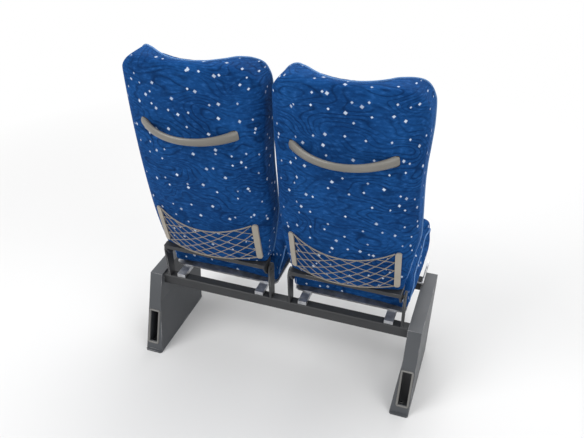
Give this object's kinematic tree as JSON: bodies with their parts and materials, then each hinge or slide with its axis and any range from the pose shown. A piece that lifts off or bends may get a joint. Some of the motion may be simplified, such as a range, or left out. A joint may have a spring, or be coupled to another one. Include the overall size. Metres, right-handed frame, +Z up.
{
  "type": "twin reclining coach seat",
  "caption": "Two-place passenger seat for a coach, with separately reclining high backs, grab handles, magazine nets and floor legs.",
  "frame": {"origin": "on the floor, at the middle of the seat's bounding box", "axes": "+X to the aisle side, +Y forward, the way its passengers face, +Z up"},
  "size_m": [0.988, 0.6113, 1.156],
  "materials": {
    "cover_fabric": "woven pile upholstery with small white flecks",
    "shell_plastic": "moulded, fine grain",
    "handle_plastic": "moulded, fine grain",
    "net_cord": "knotted elastic cord",
    "strip_plastic": "moulded",
    "frame_steel": "dark powder coat",
    "leg_steel": "grey powder coat",
    "pan_steel": "black powder coat",
    "lever_metal": "grey paint, satin"
  },
  "bodies": {
    "root": {"bracket_window_left": "frame_steel", "bracket_window_right": "frame_steel", "cushion_window": "cover_fabric", "pan_window": "pan_steel", "recline_lever_window": "lever_metal", "bracket_aisle_left": "frame_steel", "bracket_aisle_right": "frame_steel", "cushion_aisle": "cover_fabric", "pan_aisle": "pan_steel", "recline_lever_aisle": "lever_metal", "beam_rear": "frame_steel", "beam_front": "frame_steel", "leg_window": "leg_steel", "leg_aisle": "leg_steel", "foot_window": "leg_steel", "foot_aisle": "leg_steel"},
    "back_window": {"rear_cover_window": "cover_fabric", "back_shell_window": "shell_plastic", "front_pad_window": "cover_fabric", "back_flap_window": "cover_fabric", "handle_window": "handle_plastic", "net_window": "net_cord", "net_strips_window": "strip_plastic", "back_frame_window": "frame_steel"},
    "back_aisle": {"rear_cover_aisle": "cover_fabric", "back_shell_aisle": "shell_plastic", "front_pad_aisle": "cover_fabric", "back_flap_aisle": "cover_fabric", "handle_aisle": "handle_plastic", "net_aisle": "net_cord", "net_strips_aisle": "strip_plastic", "back_frame_aisle": "frame_steel"}
  },
  "joints": [
    {"name": "recline_window", "type": "hinge", "parent": "root", "child": "back_window", "pos_m": [-0.2295, -0.118, 0.404], "axis": [1, 0, 0], "range_deg": [0, 25]},
    {"name": "recline_aisle", "type": "hinge", "parent": "root", "child": "back_aisle", "pos_m": [0.2295, -0.118, 0.404], "axis": [1, 0, 0], "range_deg": [0, 25]}
  ]
}
